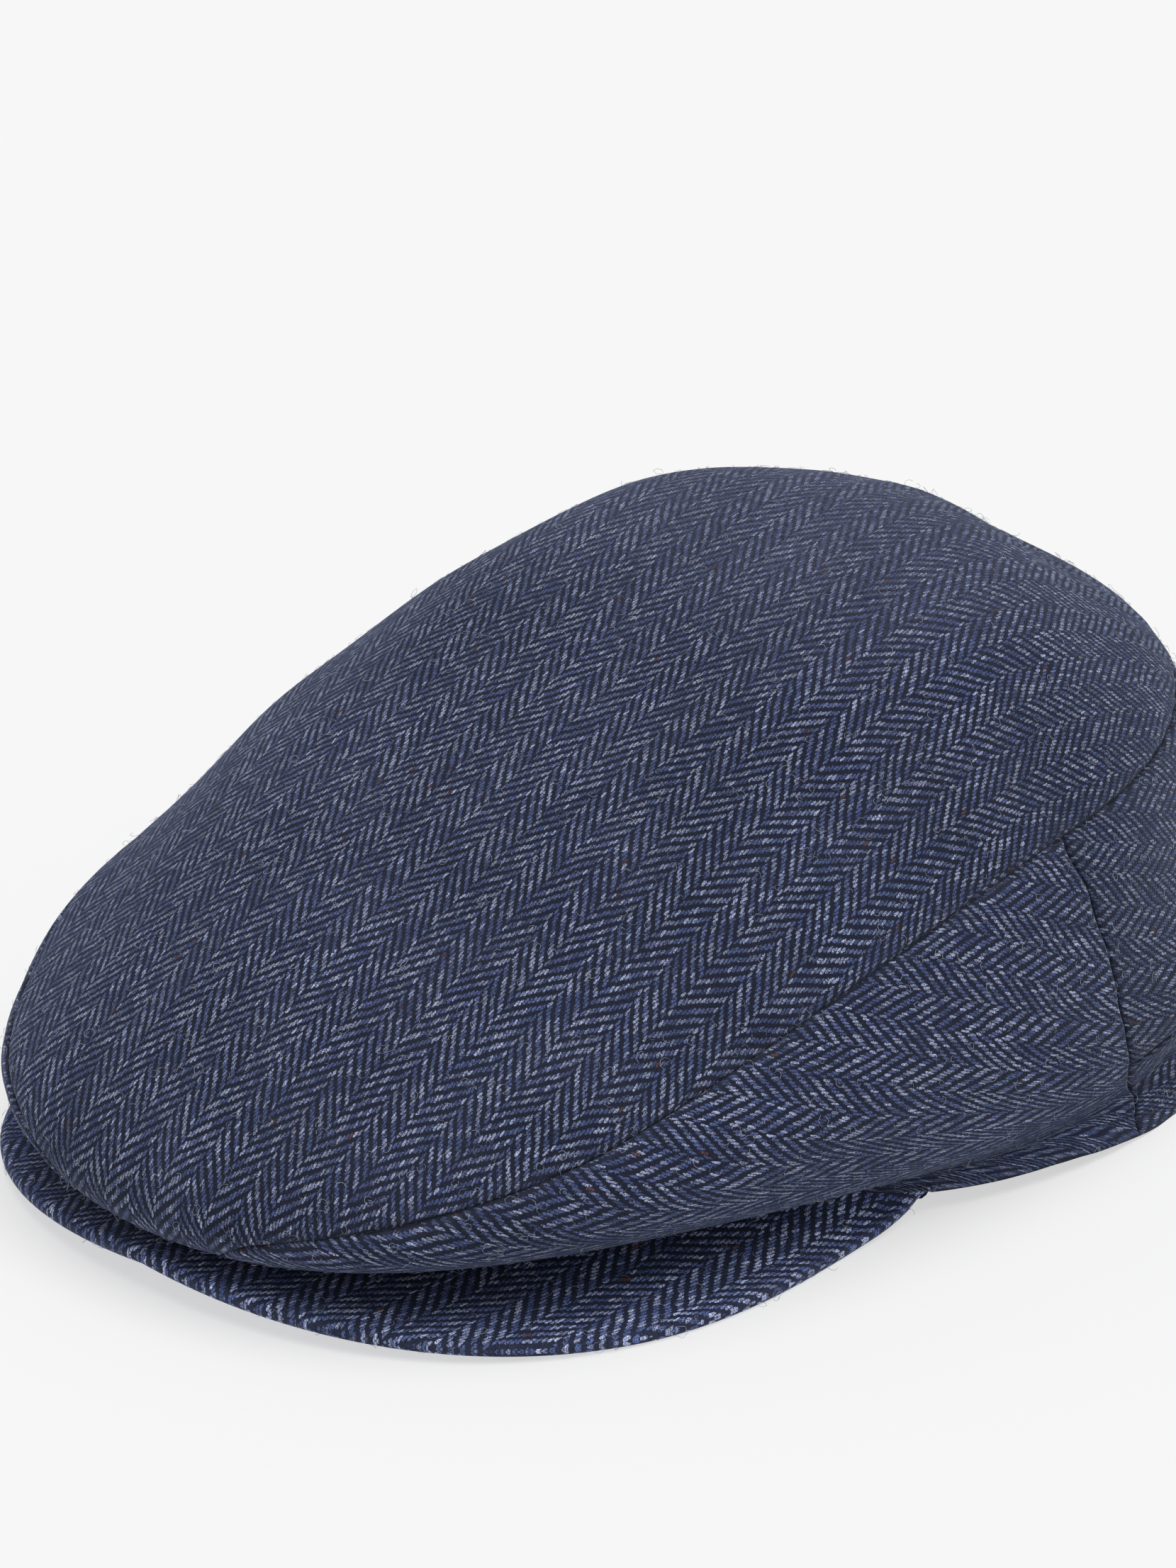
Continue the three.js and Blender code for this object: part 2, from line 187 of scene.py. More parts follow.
def peak_share(direction):
    return np.minimum(np.abs(direction) / PEAK_HALF_ANGLE, 1)


def peak_depth(direction):
    return PEAK_DEPTH * np.cos(math.pi / 2 * peak_share(direction) ** PEAK_FULLNESS) ** PEAK_POINT


def peak_thickness(direction):
    return PEAK_THICKNESS + (PEAK_TIP_THICKNESS - PEAK_THICKNESS) * peak_share(direction) ** 2


def peak_root(direction):
    turn = np.radians(direction)
    angle = np.arctan2(np.sin(turn) / OPENING_WIDTH, np.cos(turn) / OPENING_LENGTH)
    return opening_lift(angle) - REST_GAP


def peak_edge(direction):
    """Height of the peak's lower edge: lifted at the front, on the table at its shoulders."""
    share = peak_share(direction)
    front = np.maximum(1 - share / LIFT_END, 0) ** EDGE_FALL
    tip = np.maximum((share - TIP_START) / TIP_LENGTH, 0) ** EDGE_FALL
    return PEAK_FRONT_LIFT * front + (peak_root(PEAK_HALF_ANGLE) - PEAK_TIP_THICKNESS) * tip


def peak_top(direction, share):
    """Height of the peak's upper face, from its root at the opening (0) to its outer edge (1)."""
    edge = peak_edge(direction) + peak_thickness(direction)
    return edge + (peak_root(direction) - edge) * (1 - np.clip(share, 0, 1)) ** PEAK_HOLLOW


def peak_seat(x, y):
    """Lowest height that the crown can take over the peak."""
    direction = np.degrees(np.arctan2(x, -y))
    depth = peak_depth(direction)
    out = np.hypot(x, y) - opening_radius(direction)
    seat = peak_top(direction, out / np.maximum(depth, CLOTH)) + REST_GAP
    return np.where((np.abs(direction) > PEAK_HALF_ANGLE) | (out > depth), -np.inf, seat)


print("the peak is", round(float(peak_depth(0)), 1), "mm deep in front")


# %% [markdown]
# Each row of the table of sections becomes a ring of points, and a point of the skin is a smooth
# mix of the four rings nearest to its level. Level 0 is the opening's edge and the highest level is
# the summit. A lofted surface would look the same, but a formula also tells where any seam lies.

# %% The crown's skin
def section_ring(row, turn, falls_evenly):
    """Points of one closed section at the given turns from the front."""
    front_share, rear_share, width, front_z, side_z, rear_z, taper, square = row
    cos, sin = np.cos(turn), np.sin(turn)
    front, rear = np.maximum(cos, 0), np.maximum(-cos, 0)
    corner = 1 + 4 * square * (front * sin) ** 2
    to_front, to_rear = front_z - side_z, rear_z - side_z
    if falls_evenly:
        fall = ((to_front - to_rear) * cos + (to_front + to_rear) * cos**2) / 2
    else:
        fall = to_front * front**FRONT_FALL + to_rear * rear**2
    x = width * sin * corner * (1 - taper * cos)
    y = (rear_share - front_share) / 2 - (rear_share + front_share) / 2 * cos * corner
    return np.stack([x, y, side_z + fall], -1)


def in_millimetres(row, front, rear, half_width):
    shares = np.array(row, float)
    scale = [front, rear, half_width, CROWN_HEIGHT, CROWN_HEIGHT, CROWN_HEIGHT, 1, 1]
    return shares * scale


RING_ROWS = [in_millimetres(CREASE, OPENING_LENGTH / 2, OPENING_LENGTH / 2, OPENING_WIDTH / 2)]
RING_ROWS += [in_millimetres(row, CROWN_FRONT, CROWN_REAR, CROWN_WIDTH / 2) for row in SECTIONS]
SUMMIT = np.array([0, SUMMIT_BEHIND_MIDDLE, CROWN_HEIGHT], float)


def control_rings(turn):
    """The stack of sections at each turn, from one below the edge to one past the summit."""
    edge = np.stack(
        [OPENING_WIDTH / 2 * np.sin(turn), -OPENING_LENGTH / 2 * np.cos(turn), opening_lift(turn)], -1
    )
    sections = [section_ring(row, turn, row is RING_ROWS[-1]) for row in RING_ROWS]
    far = section_ring(RING_ROWS[-1], turn + math.pi, True)
    summit = (6 * SUMMIT - sections[-1] - far) / 4
    return np.stack([2 * edge - sections[0], edge, *sections, summit, far])


def crown(angle, level):
    """Points on the crown's outside, in millimetres from the opening's middle."""
    angle, level = np.broadcast_arrays(np.asarray(angle, float), np.asarray(level, float))
    shape = angle.shape
    turn, level = np.radians(angle.ravel()), level.ravel()
    rings = control_rings(turn)
    start = np.clip(np.floor(level), 0, SUMMIT_LEVEL - 1).astype(int)
    t = level - start
    weights = [(1 - t) ** 3, 3 * t**3 - 6 * t**2 + 4, 1 + 3 * t + 3 * t**2 - 3 * t**3, t**3]
    which = np.arange(len(turn))
    points = sum(w[:, None] * rings[start + i, which] for i, w in enumerate(weights)) / 6
    drop = rim_drop(np.abs((angle.ravel() + 180) % 360 - 180)) * np.maximum(1 - level / RIM_REACH, 0) ** 2
    points[:, 2] = np.maximum(points[:, 2] - drop, peak_seat(points[:, 0], points[:, 1]))
    return points.reshape(shape + (3,))


def crown_normal(angle, level):
    """Directions straight out of the crown's skin."""
    step = 0.02
    around = crown(angle + step, level) - crown(angle - step, level)
    upward = crown(angle, np.minimum(level + step, SUMMIT_LEVEL)) - crown(angle, np.maximum(level - step, 0))
    normal = np.cross(around, upward)
    length = np.linalg.norm(normal, axis=-1, keepdims=True)
    return np.where(length > 1e-9, normal / np.maximum(length, 1e-9), [0, 0, 1.0])


print("front of the crown at", crown(0.0, 3.4).round(1), "and its summit at", crown(0.0, 9.0).round(1))

# %% [markdown]
# Worn cloth is never a perfect dome. A few broad, shallow dents and swells, of a millimetre or two,
# break up the outline and the light. Each is a soft hill given by its place on the crown, its
# reach and its height. Shape keys or a sculpt brush would do it too, but a table is easy to tune.

# %% Dents and swells
UNDULATIONS = [
    # degrees from the front, level, reach in degrees, reach in levels, height in millimetres
    (20, 6.2, 16, 0.8, -0.8),
    (62, 6.6, 14, 0.7, -0.7),
    (95, 6.2, 16, 0.5, -1.2),
    (110, 7.2, 18, 0.6, 0.9),
    (-54, 4.5, 9, 0.5, 2.0),
    (-36, 3.9, 10, 0.4, 0.6),
    (-65, 5.9, 8, 0.4, 0.9),
    (-80, 6.8, 9, 0.5, 0.9),
    (-104, 7.7, 14, 0.4, 0.5),
    (-140, 8.2, 16, 0.4, -0.5),
    (48, 4.5, 12, 0.5, 0.7),
    (75, 3.4, 10, 0.5, -0.9),
    (157, 6.3, 12, 0.6, 0.4),
    (160, 7.2, 10, 0.35, -1.5),
    (177, 7.9, 10, 0.3, 0.5),
    (-150, 4.6, 20, 0.8, 0.7),
]


def undulation(angle, level):
    """How far the cloth stands out of the plain crown, in millimetres."""
    total = np.zeros(np.broadcast(angle, level).shape)
    for at, height_at, reach, reach_up, height in UNDULATIONS:
        away = ((angle - at + 180) % 360 - 180) / reach
        total += height * np.exp(-(away**2) - ((level - height_at) / reach_up) ** 2)
    return total


print(len(UNDULATIONS), "dents and swells")

# %% [markdown]
# Each panel starts as a flat grid, which is laid on the crown's skin. Beside a seam the cloth rolls
# inwards, because the allowance behind it pulls it down, and the thread gathers it into small
# puckers. The grid is finest there. Each point keeps its distance to the nearest seam or edge as an
# attribute, so that the cloth's finish can show wear and painted shade there.

# %% Laying a grid on the crown
WEAVE_MAP = "weave"
SEAM_ROLL_DEPTH, SEAM_ROLL_REACH = 0.7, 1.5
PUCKER_HEIGHT, PUCKER_REACH = 0.13, 5
# The puckers' beat, by degrees round the crown and by levels up it.
PUCKER_TURN, PUCKER_CLIMB = 1.1, 13


def crowded_ends(share, crowding=0.8):
    """Spreads 0..1 so that the steps are smallest at both ends."""
    return share - crowding / (2 * math.pi) * np.sin(2 * math.pi * share)


def crowded_start(share, crowding=0.7):
    """Spreads 0..1 so that the steps are smallest at the start."""
    return (1 - crowding) * share + crowding * share**2


def distances(points, axis, from_end):
    """Distances along the grid's lines from one of its borders."""
    steps = np.linalg.norm(np.diff(points, axis=axis), axis=-1)
    if from_end:
        steps = np.flip(steps, axis)
    zero = np.zeros_like(np.take(steps, [0], axis))
    total = np.concatenate([zero, np.cumsum(steps, axis)], axis)
    return np.flip(total, axis) if from_end else total


def sheet_of(points, near, flat=None):
    """A bmesh grid bent to the given points.

    It remembers how near each point is to an edge and, where given, its place on the flat cloth."""
    rows, columns = points.shape[0] - 1, points.shape[1] - 1
    bm = bmesh.new()
    bmesh.ops.create_grid(bm, x_segments=columns, y_segments=rows, size=0.5)
    edge = bm.verts.layers.float.new("near_edge")
    weave = bm.loops.layers.uv.new(WEAVE_MAP)
    for vert in bm.verts:
        i, j = round((vert.co.y + 0.5) * rows), round((vert.co.x + 0.5) * columns)
        x, y, z = points[i, j]
        vert.co = (x * MM, (y + MIDDLE) * MM, z * MM)
        vert[edge] = near[i, j]
        if flat is not None:
            for loop in vert.link_loops:
                loop[weave].uv = flat[i, j] * MM
    return bm


def lay_panel(angle, level, sewn, flat=None):
    """A sheet laid on the crown at the given angles and levels, with the sewn borders rolled in."""
    points = crown(angle, level)
    normal = crown_normal(angle, level)
    near = np.full(points.shape[:2], np.inf)
    for border in sewn:
        axis = 0 if border in ("bottom", "top") else 1
        near = np.minimum(near, distances(points, axis, border in ("top", "right")))
    roll = SEAM_ROLL_DEPTH * np.clip(1 - near / SEAM_ROLL_REACH, 0, 1) ** 2
    beat = PUCKER_TURN * angle + PUCKER_CLIMB * level
    uneven = beat + 2 * np.sin(beat / 7)
    pucker = PUCKER_HEIGHT * np.sin(uneven) * np.exp(-near / PUCKER_REACH)
    points = points + normal * (undulation(angle, level) + pucker - roll)[..., None]
    points[..., 2] = np.maximum(points[..., 2], 0)
    return sheet_of(points, near, flat)


def place_piece(bm, name):
    """Turns a bmesh into a smooth piece that replaces its node and rides on the cap."""
    for face in bm.faces:
        face.smooth = True
    mesh = bpy.data.meshes.new(name)
    bm.to_mesh(mesh)
    bm.free()
    piece = bpy.data.objects.new("cloth_" + name, mesh)
    bpy.context.collection.objects.link(piece)
    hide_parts(name)
    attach(piece, "root")
    print(name, "has", len(mesh.polygons), "faces")
    return piece


# %% [markdown]
# The top panel reaches from its seam up to the summit, all the way round. Merging the points that
# meet at the summit and along the front closes the grid, so no seam shows where the real cap has
# none. Only its lower border is sewn.

# %% Top panel
TOP_COLUMNS, TOP_ROWS = 240, 84


def make_top_panel():
    """A ring of cloth columns that meet at the summit."""
    angle = np.linspace(0, 360, TOP_COLUMNS + 1)[None, :]
    up = crowded_start(np.linspace(0, 1, TOP_ROWS + 1))[:, None]
    low = top_seam(angle)
    level = low + (SUMMIT_LEVEL - low) * up
    bm = lay_panel(np.broadcast_to(angle, level.shape), level, ["bottom"])
    bmesh.ops.remove_doubles(bm, verts=bm.verts, dist=0.01 * MM)
    return place_piece(bm, "top_panel")


top_panel = make_top_panel()

# %% [markdown]
# A side panel starts in a point under the front fold and widens to the upright seam behind the ear.
# It is a grid with all four borders sewn. One function makes both: for the other side the angles
# change sign and the columns change order, so that the faces still look outwards.

# %% Side panels
SIDE_COLUMNS, SIDE_ROWS = 170, 76
ROUND_LEVEL, CLIMB_STEPS = 4, 12
SIDE_GRAIN, SIDE_SHIFT = -24, 3.5
CUT_WIDTH, CUT_LENGTH, CUT_SKEW = 1.086, 0.673, 0.359


def unrolled(angle, level, grain, shift):
    """Flat places of cloth that stands round the cap, in millimetres across and along its weave.

    The cloth is rolled out flat by its length round the cap and its height, and the grain is how
    many degrees its columns climb towards the back. Cut on the slant, it was pulled longer as it
    was sewn, so its threads no longer cross squarely."""
    ring = np.arange(-180, 361)
    steps = np.linalg.norm(np.diff(crown(ring, ROUND_LEVEL), axis=0), axis=-1)
    length = np.concatenate([[0], np.cumsum(steps)])
    around = np.interp(angle, ring, length - length[180])
    share = np.linspace(0, 1, CLIMB_STEPS + 1)[:, None, None]
    climb = crown(angle, ROUND_LEVEL + (level - ROUND_LEVEL) * share)
    height = np.linalg.norm(np.diff(climb, axis=0), axis=-1).sum(0) * np.sign(level - ROUND_LEVEL)
    cos, sin = math.cos(math.radians(grain)), math.sin(math.radians(grain))
    across, along = around * sin - height * cos, around * cos + height * sin
    return np.stack([CUT_WIDTH * across + shift, CUT_LENGTH * along - CUT_SKEW * across], -1)


def make_side_panel(name, side):
    """A panel from its narrow end under the front fold to the upright seam behind the ear."""
    along = crowded_ends(np.linspace(0, 1, SIDE_COLUMNS + 1))[None, :]
    up = crowded_ends(np.linspace(0, 1, SIDE_ROWS + 1))[:, None]
    top_angle = along * back_seam_angle(1)
    angle = along * back_seam_angle(up)
    level = up * top_seam(top_angle)
    flat = unrolled(angle, level, SIDE_GRAIN, SIDE_SHIFT)
    if side < 0:
        angle, level, flat = -angle[:, ::-1], level[:, ::-1], flat[:, ::-1]
    return place_piece(lay_panel(angle, level, ["bottom", "top", "left", "right"], flat), name)


side_panel_left = make_side_panel("side_panel_left", 1)
side_panel_right = make_side_panel("side_panel_right", -1)

# %% [markdown]
# The back panel and the band under it are grids from one upright seam round to the other. The band
# ends at one height, so its top border is found by halving: the middle of a range is tried, and the
# half that holds the wanted height is kept, time after time.

# %% Back panel and band
BACK_COLUMNS, BACK_ROWS, BAND_ROWS = 180, 52, 20
BACK_GRAIN, BAND_GRAIN = -20, 0
HALVINGS = 24


def back_place(along, share):
    """Angle and level of a place on the back, along it from seam to seam and up its height."""
    side_end = back_seam_angle(1)
    top_angle = side_end + along * 2 * (180 - side_end)
    start = back_seam_angle(share)
    return start + along * 2 * (180 - start), share * top_seam(top_angle)


def band_share(along, height):
    """Share of the back's height at which its outside reaches a height."""
    low, high = np.zeros_like(along), np.ones_like(along)
    for _ in range(HALVINGS):
        middle = (low + high) / 2
        below = crown(*back_place(along, middle))[..., 2] < height
        low, high = np.where(below, middle, low), np.where(below, high, middle)
    return (low + high) / 2


def make_back(name, low, high, rows, grain):
    along = crowded_ends(np.linspace(0, 1, BACK_COLUMNS + 1))[None, :]
    up = crowded_ends(np.linspace(0, 1, rows + 1))[:, None]
    low, high = low(along), high(along)
    angle, level = back_place(np.broadcast_to(along, (rows + 1, BACK_COLUMNS + 1)), low + (high - low) * up)
    flat = unrolled(angle, level, grain, 0)
    return place_piece(lay_panel(angle, level, ["bottom", "top", "left", "right"], flat), name)


def band_top(along):
    return band_share(along, BAND_HEIGHT)


back_band = make_back("back_band", np.zeros_like, band_top, BAND_ROWS, BAND_GRAIN)
back_panel = make_back("back_panel", band_top, np.ones_like, BACK_ROWS, BACK_GRAIN)

# %% [markdown]
# The weave has to run the way the tailor cut each piece. The sides and the back were rolled out by
# their lengths, but the top is domed both ways. So it is flattened as if it were unpicked and
# pressed: Blender's unwrap with the least stretch gives the flat shape. It is scaled back to real
# metres and turned, so that the weave's columns run straight back.

# %% Flattening the top panel
FIT_REACH, FIT_LEVEL = 14, 6.5
TOP_SKEW = 0.17


def flat_shape(piece):
    """Unwraps a sheet and gives each vertex its flat place, in metres."""
    mesh = piece.data
    bpy.context.view_layer.objects.active = piece
    bpy.ops.object.mode_set(mode="EDIT")
    bpy.ops.mesh.select_all(action="SELECT")
    bpy.ops.uv.unwrap(method="MINIMUM_STRETCH", margin=0)
    bpy.ops.object.mode_set(mode="OBJECT")
    corners = np.zeros(len(mesh.loops) * 2)
    mesh.uv_layers[WEAVE_MAP].data.foreach_get("uv", corners)
    vertex = np.zeros(len(mesh.loops), int)
    mesh.loops.foreach_get("vertex_index", vertex)
    flat = np.zeros((len(mesh.vertices), 2))
    flat[vertex] = corners.reshape(-1, 2)
    place = places(mesh)
    ends = np.zeros(len(mesh.edges) * 2, int)
    mesh.edges.foreach_get("vertices", ends)
    one, other = ends.reshape(-1, 2).T
    real = np.linalg.norm(place[one] - place[other], axis=1).sum()
    return flat * real / np.linalg.norm(flat[one] - flat[other], axis=1).sum()


def places(mesh):
    where = np.zeros(len(mesh.vertices) * 3)
    mesh.vertices.foreach_get("co", where)
    return where.reshape(-1, 3)


def write_weave(mesh, flat):
    """Stores flat places as the map that the cloth's pattern follows."""
    vertex = np.zeros(len(mesh.loops), int)
    mesh.loops.foreach_get("vertex_index", vertex)
    mesh.uv_layers[WEAVE_MAP].data.foreach_set("uv", flat[vertex].ravel())


def lay_weave(piece, angle, level):
    """Turns the flat shape so that the weave's columns run straight back at one place of the crown."""
    flat = flat_shape(piece)
    middle = (crown(angle, level) + [0, MIDDLE, 0]) * MM
    out = crown_normal(angle, level)
    back = np.array([0, 1, 0]) - out * out[1]
    back = back / np.linalg.norm(back)
    across = np.cross(out, back)
    away = places(piece.data) - middle
    close = np.linalg.norm(away, axis=1) < FIT_REACH * MM
    local = np.stack([away[close] @ back, away[close] @ across, np.ones(close.sum())], -1)
    fit = np.linalg.lstsq(local, flat[close], rcond=None)[0]
    along = fit[0] / np.linalg.norm(fit[0])
    flat = flat - fit[2]
    across = flat @ [along[1], -along[0]]
    turned = np.stack([across, flat @ along + TOP_SKEW * across], -1)
    write_weave(piece.data, turned)
    size = 1000 * (turned.max(0) - turned.min(0))
    print(piece.name, "was cut from", round(size[0]), "by", round(size[1]), "mm of cloth")


lay_weave(top_panel, 0.0, FIT_LEVEL)

# %% [markdown]
# The peak is a stiff board under the same cloth. One sheet runs out along the underside, round the
# blunt nose and back over the top, and a last strip joins its two root edges. Its cloth is pulled
# smooth, so its flat places are simply its distance from the root, laid out round the opening.

# %% Peak
PEAK_COLUMNS, PEAK_FACE_ROWS, PEAK_NOSE_ROWS = 200, 40, 10
PEAK_TIP_ANGLE = 63.5
# The cloth's edge stands out past the plain crescent in three soft swells.
PEAK_SWELLS = [
    # millimetres, degrees from the front, reach in degrees
    (1.9, 0, 30),
    (2.0, -38, 9),
    (1.7, 57, 4.5),
]
# Near its tips the peak is tucked inwards and grows thinner: by how much, from how many degrees
# from the front, and over how many degrees.
PEAK_TUCK, TUCK_START, TUCK_REACH = 1.0, 53, 8
TIP_THINNING, THIN_START, THIN_REACH = 0.6, 60, 3
# Added to the distance from the peak's nose, so the nose shows a little wear but none of the painted seam
# shade.
PEAK_EDGE_WEAR = 0.8
# The peak's weave is this much larger than the crown's.
PEAK_STRETCH = 1.2


def peak_sheet():
    """Points over the peak's underside, nose and top, their flat places, and distances to the nose."""
    direction = np.linspace(-1, 1, PEAK_COLUMNS + 1) * PEAK_TIP_ANGLE
    out = crowded_ends(np.linspace(0, 1, PEAK_FACE_ROWS + 1))
    nose = np.linspace(0, math.pi, PEAK_NOSE_ROWS + 1)[1:-1]
    lines, flats, nears = [], [], []
    for turn in direction:
        tuck = PEAK_TUCK * np.clip((abs(turn) - TUCK_START) / TUCK_REACH, 0, 1) ** 2
        swell = sum(size * math.exp(-(((turn - at) / wide) ** 2)) for size, at, wide in PEAK_SWELLS)
        root = opening_radius(turn) - CLOTH - tuck
        depth = peak_depth(turn) + CLOTH + swell
        thinned = TIP_THINNING * np.clip((abs(turn) - THIN_START) / THIN_REACH, 0, 1)
        thick = peak_thickness(turn) * (1 - thinned)
        flat = depth - thick / 2
        reach = np.concatenate([flat * out, flat + thick / 2 * np.sin(nose), flat * out[::-1]])[:, None]
        down = np.concatenate([thick + 0 * out, thick / 2 * (1 + np.cos(nose)), 0 * out])[:, None]
        share = (reach - CLOTH) / max(peak_depth(turn), CLOTH)
        height = peak_top(turn, share) - down
        way = math.radians(turn)
        line = np.concatenate([(root + reach) * math.sin(way), -(root + reach) * math.cos(way), height], 1)
        run = distances(line[:, None], 0, False)[:, 0]
        run = np.minimum(run, run[-1] - run)
        lines.append(line)
        far = (root + run) / PEAK_STRETCH
        flats.append(np.stack([far * math.sin(way), -far * math.cos(way)], 1))
        nears.append(run.max() - run + PEAK_EDGE_WEAR)
    return np.stack(lines, 1), np.stack(flats, 1), np.stack(nears, 1)


def make_peak():
    """Sweeps the peak's rounded section round the opening, and closes its root and its two tips."""
    points, flat, near = (np.concatenate([rows, rows[:1]]) for rows in peak_sheet())
    bm = sheet_of(points, near, flat)
    bmesh.ops.remove_doubles(bm, verts=bm.verts, dist=0.01 * MM)
    bmesh.ops.holes_fill(bm, edges=[edge for edge in bm.edges if edge.is_boundary], sides=0)
    bmesh.ops.recalc_face_normals(bm, faces=bm.faces)
    return place_piece(bm, "peak")


peak = make_peak()

# %% [markdown]
# The cloth is a herringbone twill: pale blue warp threads float over two dark weft threads, one
# thread further on at each step, so the floats line up in slanting ribs. After every eleven threads
# the slant turns round and the pattern jumps half a repeat, which makes the columns. Maths on the
# flat map draws it sharp at any distance, where an image would blur close up. A few short tools
# come first, because a pattern like this takes about a hundred nodes.

# %% Tools for building a finish from nodes
class Bench:
    """Adds nodes to one tree and joins them."""

    def __init__(self, tree):
        self.tree = tree

    def join(self, source, socket):
        if isinstance(source, bpy.types.NodeSocket):
            self.tree.links.new(source, socket)
        elif source is not None:
            socket.default_value = source

    def add(self, kind, *sources, give=0, **settings):
        made = self.tree.nodes.new("ShaderNode" + kind)
        for key, value in settings.items():
            setattr(made, key, value)
        for source, socket in zip(sources, made.inputs):
            self.join(source, socket)
        return made.outputs[give]

    def sum(self, operation, *sources):
        return self.add("Math", *sources, operation=operation)

    def spread(self, value, low, high, to_low=0.0, to_high=1.0, kind="SMOOTHSTEP"):
        return self.add("MapRange", value, low, high, to_low, to_high, interpolation_type=kind)

    def noise(self, vector, scale, detail=2.0, give=0):
        made = self.tree.nodes.new("ShaderNodeTexNoise")
        self.join(vector, made.inputs["Vector"])
        made.inputs["Scale"].default_value = scale
        made.inputs["Detail"].default_value = detail
        return made.outputs[give]

    def blend(self, share, one, other, kind="MIX"):
        made = self.tree.nodes.new("ShaderNodeMix")
        made.data_type, made.blend_type = "RGBA", kind
        for source, index in ((share, 0), (one, 6), (other, 7)):
            self.join(source, made.inputs[index])
        return made.outputs[2]


# %% [markdown]
# A node group is a set of nodes that every panel's finish can share. This one counts threads over
# the flat map, finds which thread lies on top at each place, and gives its colour, its roughness
# and its height. Real threads as geometry would be far too many.

# %% Herringbone cloth
WARP_STEP, WEFT_STEP = 0.52, 0.68
COLUMN_THREADS = 11
REPEAT = 4
DARK_THREAD = (0.006, 0.007, 0.013, 1)
STEEL_THREAD = (0.060, 0.086, 0.205, 1)
PALE_THREAD = (0.29, 0.33, 0.49, 1)
RUST_THREAD = (0.09, 0.045, 0.045, 1)
FUZZ_TONE = (0.036, 0.040, 0.068, 1)
# The pale colour of the painted sheen on the highest cloth.
PAINTED_SHEEN_TONE = (0.10, 0.11, 0.175, 1)
# One thread in some hundreds is rust brown: those whose chance is above this.
RUST_LIMIT = 0.997
# How fine each irregular pattern is: the higher the number, the finer.
MOTTLE_SCALE, PATCH_SCALE, WANDER_SCALE = 30.0, 55.0, 70.0
JITTER_SCALE, NAP_SCALE, SPECK_SCALE = 600.0, 900.0, 3000.0
# Heights between which the painted sheen grows, in metres.
SHEEN_PAINT_START, SHEEN_PAINT_END = 0.083, 0.103


